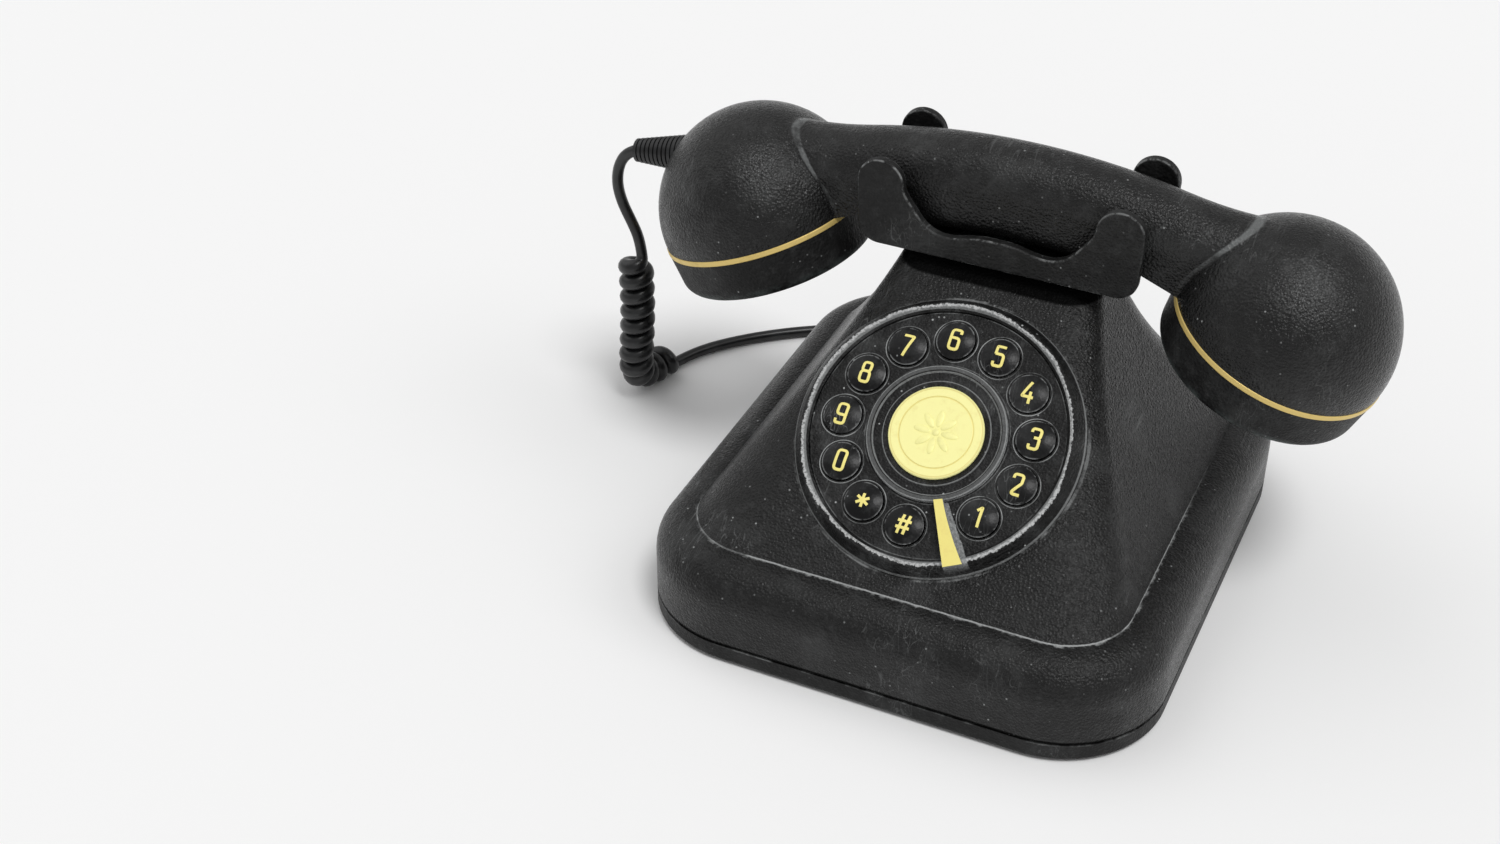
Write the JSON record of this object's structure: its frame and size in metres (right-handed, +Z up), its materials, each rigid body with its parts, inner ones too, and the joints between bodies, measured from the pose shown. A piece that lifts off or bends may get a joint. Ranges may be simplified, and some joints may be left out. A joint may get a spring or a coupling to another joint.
{
  "type": "push-button desk telephone",
  "caption": "Old-style desk telephone with a lifting handset, a cradle with a hook plunger and round push buttons set in a dial-like ring on its sloping front.",
  "frame": {"origin": "centre of the base's footprint, on the table", "axes": "+X to the right of the person who uses it, +Y to the rear, +Z up"},
  "size_m": [0.2539, 0.2004, 0.1289],
  "materials": {
    "shell_black": "worn satin, mottled, with light worn edges",
    "cap_black": "worn satin",
    "key_black": "satin with gold figures",
    "gold": "satin gold finish",
    "inner_black": "moulded, matt",
    "rubber": "matt",
    "board": "printed circuit board",
    "steel": "bright zinc",
    "iron": "as cast",
    "cord_black": "flexible, smooth"
  },
  "bodies": {
    "base": {"ballast_weight": "iron", "base_screws": "steel", "base_tray": "shell_black", "board_screws": "steel", "body_shell": "shell_black", "bracket_screws": "steel", "centre_disc": "gold", "cord_gland": "cord_black", "cradle": "shell_black", "cradle_screws": "steel", "dial_back_plate": "inner_black", "dial_bezel": "shell_black", "dial_face_plate": "shell_black", "dial_hub": "shell_black", "dial_screws": "steel", "finger_stop": "gold", "handset_cord_coil": "cord_black", "handset_cord_lower": "cord_black", "handset_cord_upper": "cord_black", "hook_switch": "inner_black", "key_mat": "rubber", "keypad_board": "board", "line_jack": "inner_black", "main_board": "board", "plunger_spring": "steel", "ringer_speaker": "inner_black", "rubber_feet": "rubber", "switch_bracket": "steel"},
    "handset": {"handset_shell": "shell_black", "mouth_band": "gold", "mouth_cap": "cap_black", "mouth_gasket": "rubber", "microphone_capsule": "inner_black", "ear_band": "gold", "ear_cap": "cap_black", "ear_gasket": "rubber", "receiver_capsule": "inner_black", "handset_strain_relief": "cord_black"},
    "plunger": {"hook_plunger": "cap_black", "plunger_clip": "steel"},
    "button_1": {"button_1": "key_black"},
    "button_2": {"button_2": "key_black"},
    "button_3": {"button_3": "key_black"},
    "button_4": {"button_4": "key_black"},
    "button_5": {"button_5": "key_black"},
    "button_6": {"button_6": "key_black"},
    "button_7": {"button_7": "key_black"},
    "button_8": {"button_8": "key_black"},
    "button_9": {"button_9": "key_black"},
    "button_0": {"button_0": "key_black"},
    "button_star": {"button_star": "key_black"},
    "button_hash": {"button_hash": "key_black"}
  },
  "joints": [
    {"name": "handset_lift", "type": "slide", "parent": "base", "child": "handset", "axis": [0, 0, 1], "range_m": [0, 0.06]},
    {"name": "hook_rise", "type": "slide", "parent": "base", "child": "plunger", "axis": [0, 0, 1], "range_m": [0, 0.004], "deforming": ["plunger_spring"]},
    {"name": "press_1", "type": "slide", "parent": "base", "child": "button_1", "axis": [0, 0.6074, -0.7944], "range_m": [0, 0.0015], "stiffness_N_per_m": 700},
    {"name": "press_2", "type": "slide", "parent": "base", "child": "button_2", "axis": [0, 0.6074, -0.7944], "range_m": [0, 0.0015], "stiffness_N_per_m": 700},
    {"name": "press_3", "type": "slide", "parent": "base", "child": "button_3", "axis": [0, 0.6074, -0.7944], "range_m": [0, 0.0015], "stiffness_N_per_m": 700},
    {"name": "press_4", "type": "slide", "parent": "base", "child": "button_4", "axis": [0, 0.6074, -0.7944], "range_m": [0, 0.0015], "stiffness_N_per_m": 700},
    {"name": "press_5", "type": "slide", "parent": "base", "child": "button_5", "axis": [0, 0.6074, -0.7944], "range_m": [0, 0.0015], "stiffness_N_per_m": 700},
    {"name": "press_6", "type": "slide", "parent": "base", "child": "button_6", "axis": [0, 0.6074, -0.7944], "range_m": [0, 0.0015], "stiffness_N_per_m": 700},
    {"name": "press_7", "type": "slide", "parent": "base", "child": "button_7", "axis": [0, 0.6074, -0.7944], "range_m": [0, 0.0015], "stiffness_N_per_m": 700},
    {"name": "press_8", "type": "slide", "parent": "base", "child": "button_8", "axis": [0, 0.6074, -0.7944], "range_m": [0, 0.0015], "stiffness_N_per_m": 700},
    {"name": "press_9", "type": "slide", "parent": "base", "child": "button_9", "axis": [0, 0.6074, -0.7944], "range_m": [0, 0.0015], "stiffness_N_per_m": 700},
    {"name": "press_0", "type": "slide", "parent": "base", "child": "button_0", "axis": [0, 0.6074, -0.7944], "range_m": [0, 0.0015], "stiffness_N_per_m": 700},
    {"name": "press_star", "type": "slide", "parent": "base", "child": "button_star", "axis": [0, 0.6074, -0.7944], "range_m": [0, 0.0015], "stiffness_N_per_m": 700},
    {"name": "press_hash", "type": "slide", "parent": "base", "child": "button_hash", "axis": [0, 0.6074, -0.7944], "range_m": [0, 0.0015], "stiffness_N_per_m": 700}
  ],
  "couplings": [
    {"joint": "hook_rise", "follows": "handset_lift", "ratio": 0.066667}
  ]
}
